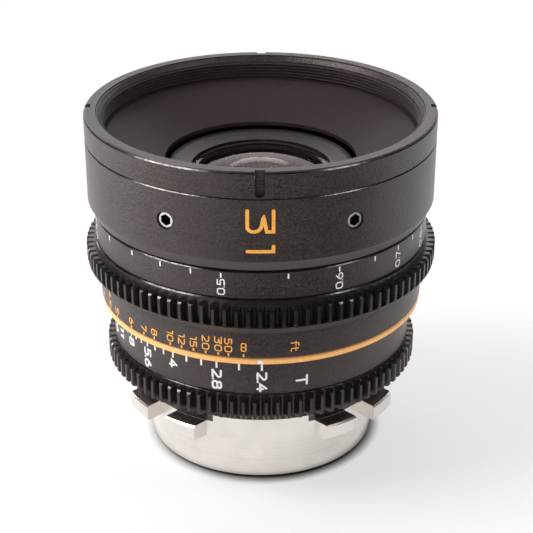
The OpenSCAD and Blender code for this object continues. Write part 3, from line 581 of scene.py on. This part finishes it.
def number(marks, figures, radius, angle, near_z, height, stroke, reads, width=FIGURE_WIDTH, gap=FIGURE_GAP):
    """Figures that read down or up a ring, with the end next to their tick at near_z."""
    body = height - stroke
    paths, length = write(figures, body, width, gap)
    wrap = on_ring(radius, angle)
    for path in paths:
        if reads == "down":
            row = [(y - body / 2, near_z - stroke / 2 - x) for x, y in path]
        elif reads == "down to":
            row = [(y - body / 2, near_z + stroke / 2 + length - x) for x, y in path]
        else:
            row = [(body / 2 - y, near_z - stroke / 2 - length + x) for x, y in path]
        marks.ribbon(row, stroke, wrap)


def tick(marks, radius, angle, z0, z1, width):
    marks.ribbon([(0.0, z0), (0.0, z1)], width, on_ring(radius, angle), round_ends=False)


# Scales: a tick is its two heights and its width, and a text its near end, height, stroke and way of reading

FRONT_BAND_R, REAR_BAND_R, IRIS_BAND_R, BARREL_R, INDEX_R = 38.5, 37.8, 35.2, 40.0, 37.65
METRIC_FAR, FEET_FAR = 180.0, -5.5
THROW, THROW_FROM = 77.0, 0.1
METRIC_TICK, METRIC_TEXT = (44.95, 46.1, 0.34), (44.72, 1.78, 0.28, "up")
FEET_TICK, FEET_TEXT = (25.8, 26.5, 0.38), (26.74, 1.75, 0.27, "down to")
FEET_FAR_TEXT, FEET_UNIT_TEXT = (27.1, 1.55, 0.27, "down to"), (26.88, 1.92, 0.27, "down to")
STOP_TICK, STOP_TEXT = (20.98, 22.9, 0.46), (20.62, 2.4, 0.48, "down")
STOP_UNIT_TEXT = (19.3, 2.85, 0.5, "down")
FOCAL_TEXT, FOCAL_WIDTH, FOCAL_GAP = (61.7, 6.17, 0.76, "down"), 1.0, 0.617
INDEX_TICK = (24.08, 24.95, 1.18)
FEET_UNIT_TURN, STOP_UNIT_TURN, FOCAL_TURN = 11.45, 15.0, 0.1
UNIT_GAP = 0.22


def throw(metres):
    """Turn of the focus ring from far to this distance, in degrees."""
    return THROW / (metres - THROW_FROM)


metric = Marks()
for label in "10 7 5 4 3 2.5 2 1.5 1.2 1 0.9 0.8 0.7 0.6 0.5 0.4 0.38".split():
    turn = METRIC_FAR - throw(float(label))
    tick(metric, FRONT_BAND_R, turn, *METRIC_TICK)
    number(metric, label, FRONT_BAND_R, turn, *METRIC_TEXT)
tick(metric, FRONT_BAND_R, METRIC_FAR, *METRIC_TICK)
number(metric, ["inf"], FRONT_BAND_R, METRIC_FAR, *METRIC_TEXT)
for metres in (15, 2.2, 1.8, 1.6, 1.4, 1.3, 1.1, 0.85, 0.75, 0.65, 0.55, 0.48, 0.46, 0.44, 0.42):
    tick(metric, FRONT_BAND_R, METRIC_FAR - throw(metres), *METRIC_TICK)
metric.build("metric_scale", WHITE_PAINT, "focus_group")

feet = Marks()
for label in "50 30 20 15 12 10 8 7 6 5 4.5 4 3.5 3 2.8 2.5 2.3 2 1.8 1.6 1.5 1.4 1.3".split():
    turn = FEET_FAR - throw(FOOT * float(label))
    tick(feet, REAR_BAND_R, turn, *FEET_TICK)
    number(feet, label, REAR_BAND_R, turn, *FEET_TEXT)
tick(feet, REAR_BAND_R, FEET_FAR, *FEET_TICK)
number(feet, ["inf"], REAR_BAND_R, FEET_FAR, *FEET_FAR_TEXT)
number(feet, "ft", REAR_BAND_R, FEET_UNIT_TURN, *FEET_UNIT_TEXT, gap=UNIT_GAP)
feet.build("feet_scale", ORANGE_PAINT, "focus_group")

stops = Marks()
stop_turns = {"2.4": 0.5, "2.8": -15.95, "4": -33.7, "5.6": -46.6, "8": -57.2, "11": -66.4, "16": -73.5}
for label, turn in stop_turns.items():
    tick(stops, IRIS_BAND_R, turn, *STOP_TICK)
    number(stops, label, IRIS_BAND_R, turn, *STOP_TEXT)
for turn in (-7.7, -21.85, -27.8, -38.1, -42.4, -50.3, -53.8, -60.4, -63.5):
    tick(stops, IRIS_BAND_R, turn, *STOP_TICK)
number(stops, "T", IRIS_BAND_R, STOP_UNIT_TURN, *STOP_UNIT_TEXT)
stops.build("iris_scale", WHITE_PAINT, "iris_group")

focal = Marks()
number(focal, ["large 3", "large 1"], BARREL_R, FOCAL_TURN, *FOCAL_TEXT, width=FOCAL_WIDTH, gap=FOCAL_GAP)
focal.build("focal_figure", ORANGE_PAINT, "housing")

index = Marks()
for turn in (0.0, 180.0):
    tick(index, INDEX_R, turn, *INDEX_TICK)
index.build("index_mark", WHITE_PAINT, "housing")


# Filter thread, a ridge that winds up the wall of the front ring

THREAD_ROOT_R, THREAD_CREST_R, THREAD_PITCH = 36.02, 35.62, 0.75
THREAD_Z0, THREAD_Z1 = 64.75, 68.25
THREAD_ROOT_HALF, THREAD_CREST_HALF = 0.34, 0.06
THREAD_STEPS, THREAD_RUN_OUT = 160, 24
THINNEST_END = 0.05


def filter_thread():
    """Sections of four points up the thread, which fade into the wall over the run-out at both ends."""
    total = int(THREAD_STEPS * (THREAD_Z1 - THREAD_Z0) / THREAD_PITCH)
    depth = THREAD_ROOT_R - THREAD_CREST_R
    section = (
        (0.0, -THREAD_ROOT_HALF), (depth, -THREAD_CREST_HALF),
        (depth, THREAD_CREST_HALF), (0.0, THREAD_ROOT_HALF),
    )
    points, faces = [], []
    for i in range(total + 1):
        a = 2 * math.pi * i / THREAD_STEPS
        fade = min(1.0, i / THREAD_RUN_OUT, (total - i) / THREAD_RUN_OUT)
        for inward, dz in section:
            r = THREAD_ROOT_R - inward * fade
            z = THREAD_Z0 + THREAD_PITCH * i / THREAD_STEPS + dz * max(fade, THINNEST_END)
            points.append((r * math.cos(a) * MM, r * math.sin(a) * MM, z * MM))
    for p in range(0, 4 * total, 4):
        faces += [(p + k, p + k + 1, p + k + 5, p + k + 4) for k in range(3)]
        faces.append((p + 3, p, p + 4, p + 7))
    last = 4 * total
    faces += [(3, 2, 1, 0), (last, last + 1, last + 2, last + 3)]
    obj = add_mesh("filter_thread", points, faces, INNER)
    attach(obj, "housing")


filter_thread()


# Floor, light and camera

FLOOR_RINGS, FLOOR_SPOKES = (0.12, 0.3, 0.8, 2.0, 4.0), 48
FLOOR_GLOW_NEAR = 0.4
FLOOR_FADE_START, FLOOR_FADE_END = 0.06, 0.26
# Painted contact shadow round the foot: its reach and samples, and its depth from left to right
CONTACT_SHADE_REACH, CONTACT_SHADE_SAMPLES = 0.003, 8
CONTACT_SHADE_LEFT_X, CONTACT_SHADE_RIGHT_X = -0.034, 0.004
CONTACT_SHADE_LEFT, CONTACT_SHADE_RIGHT = 0.6, 3.4
FLAG_LIFT = 0.0002
FLAG_OUTLINE = [
    (-0.05, -0.285), (0.25, -0.285), (0.25, -0.045), (0.12, -0.06), (0.06, -0.085), (-0.05, -0.085),
]
SKY = [(0.04, grey(1.0)), (0.16, grey(0.30)), (0.5, grey(0.12)), (1.0, grey(0.10))]
SOFT_LIGHT, SOFT_STRENGTH = (1.0, 0.99, 0.98), 0.32

# Each lamp's name, its place, the height on the axis that it aims at, its width and height, and its watts
LAMPS = (
    ("softbox_top", (-0.10, 0.36, 1.05), 0.04, (1.2, 0.7), 2.4),
    ("softbox_left", (-0.62, -0.10, 0.82), 0.05, (0.46, 0.42), 5.0),
    ("softbox_right", (0.57, -0.17, 0.87), 0.05, (0.22, 0.26), 0.9),
    ("softbox_back", (-0.05, 1.1, 0.66), 0.06, (1.4, 0.46), 4.4),
    ("softbox_front", (0.05, -1.15, 0.42), 0.03, (0.9, 0.5), 4.0),
    ("strip_left", (-0.92, 0.12, 0.11), 0.03, (1.6, 0.22), 10.5),
    ("strip_right", (0.85, 0.3, 0.14), 0.03, (0.7, 0.22), 1.5),
)


def straight_ray(tree):
    """One for rays from the camera, a mirror or a glass, and zero for soft light."""
    ray = tree.nodes.new("ShaderNodeLightPath").outputs
    bent = math_node(tree, "MAXIMUM", ray["Is Glossy Ray"], ray["Is Transmission Ray"])
    return math_node(tree, "MAXIMUM", ray["Is Camera Ray"], bent)


def floor_white_contact_shade():
    """White with a painted contact shadow in the crease round the foot, deeper on the right, that turns to
    the background's white far from it.
    """
    mat, tree, bsdf = new_material("floor_white_contact_shade")
    here = place(tree)
    pale = ramp(tree, noise(tree, here, FLOOR_CLOUD, 2.0), [(0.2, grey(0.945)), (0.8, grey(0.955))])
    # Painted contact shadow: darker in the crease round the foot, more on the right than the left
    strength = to_range(
        tree, axes(tree, here)["X"], CONTACT_SHADE_LEFT, CONTACT_SHADE_RIGHT, CONTACT_SHADE_LEFT_X, CONTACT_SHADE_RIGHT_X,
    )
    clear = math_node(tree, "POWER", openness(tree, CONTACT_SHADE_REACH, CONTACT_SHADE_SAMPLES), strength)
    set_inputs(tree, bsdf, {
        "Base Color": mix_colour(tree, clear, grey(0.0), pale),
        "Roughness": 0.7,
        "Specular IOR Level": 0.1,
    })
    away = vector_math(tree, "LENGTH", here)["Value"]
    far = to_range(tree, away, 0.0, 1.0, FLOOR_FADE_START, FLOOR_FADE_END, smooth=True)
    glow = math_node(tree, "MAXIMUM", far, times(tree, clear, FLOOR_GLOW_NEAR))
    mix = new_node(tree, "ShaderNodeMixShader", {
        "Fac": times(tree, glow, straight_ray(tree)),
        1: bsdf.outputs[0],
        2: tree.nodes.new("ShaderNodeEmission").outputs[0],
    })
    out = next(n for n in tree.nodes if n.type == "OUTPUT_MATERIAL")
    set_inputs(tree, out, {"Surface": mix.outputs[0]})
    return mat


def plain_floor():
    """A round white floor that fades into the white background far from the object."""
    spokes = [2 * math.pi * k / FLOOR_SPOKES for k in range(FLOOR_SPOKES)]
    points = [(0.0, 0.0, FLOOR_Z * MM)]
    points += [(r * math.cos(a), r * math.sin(a), FLOOR_Z * MM) for r in FLOOR_RINGS for a in spokes]
    faces = [(0, 1 + k, 1 + (k + 1) % FLOOR_SPOKES) for k in range(FLOOR_SPOKES)]
    for i in range(len(FLOOR_RINGS) - 1):
        a, b = 1 + FLOOR_SPOKES * i, 1 + FLOOR_SPOKES * (i + 1)
        for k in range(FLOOR_SPOKES):
            after = (k + 1) % FLOOR_SPOKES
            faces.append((a + k, b + k, b + after, a + after))
    obj = add_mesh("floor", points, faces, floor_white_contact_shade())


def front_flag():
    """A black card on the floor before the object, seen only in what it reflects."""
    mat, tree, bsdf = new_material("flag_black")
    weave = noise(tree, place(tree), FLAG_WEAVE, 2.0)
    set_inputs(tree, bsdf, {
        "Base Color": ramp(tree, weave, [(0.3, grey(0.012)), (0.7, grey(0.02))]),
        "Roughness": 0.9,
    })
    points = [(x, y, FLOOR_Z * MM + FLAG_LIFT) for x, y in FLAG_OUTLINE]
    obj = add_mesh("flag", points, [tuple(range(len(points)))], mat)
    obj.visible_camera = False
    obj.visible_shadow = False
    obj.visible_diffuse = False


def white_world():
    """White near the horizon and dimmer overhead, with less of it as soft light."""
    world = bpy.data.worlds.new("studio")
    bpy.context.scene.world = world
    world.use_nodes = True
    tree = world.node_tree
    tree.nodes.clear()
    way = tree.nodes.new("ShaderNodeTexCoord").outputs["Generated"]
    seen = new_node(tree, "ShaderNodeBackground", {"Color": ramp(tree, axes(tree, way)["Z"], SKY)})
    light = new_node(tree, "ShaderNodeBackground", {"Color": SOFT_LIGHT, "Strength": SOFT_STRENGTH})
    mix = new_node(tree, "ShaderNodeMixShader", {
        "Fac": straight_ray(tree), 1: light.outputs[0], 2: seen.outputs[0],
    })
    new_node(tree, "ShaderNodeOutputWorld", {"Surface": mix.outputs[0]})


def softbox(name, where, aim_z, size, power):
    data = bpy.data.lights.new(name, "AREA")
    data.shape = "RECTANGLE"
    data.size, data.size_y = size
    data.energy = power
    obj = add_object(name, data)
    obj.location = where
    obj.rotation_euler = (Vector((0, 0, aim_z)) - Vector(where)).to_track_quat("-Z", "Y").to_euler()
    obj.visible_camera = False


plain_floor()
front_flag()
white_world()
for lamp in LAMPS:
    softbox(*lamp)

camera_data = bpy.data.cameras.new("camera")
camera_data.sensor_width = 36.0
camera_data.lens = 99.63
camera_data.clip_start = 0.01
camera = add_object("camera", camera_data)
camera.location = (0.00132, -0.3161, 0.1830)
camera.rotation_euler = (math.radians(64.07), 0.0, 0.0)
bpy.context.scene.camera = camera
bpy.context.scene.view_settings.view_transform = "Standard"
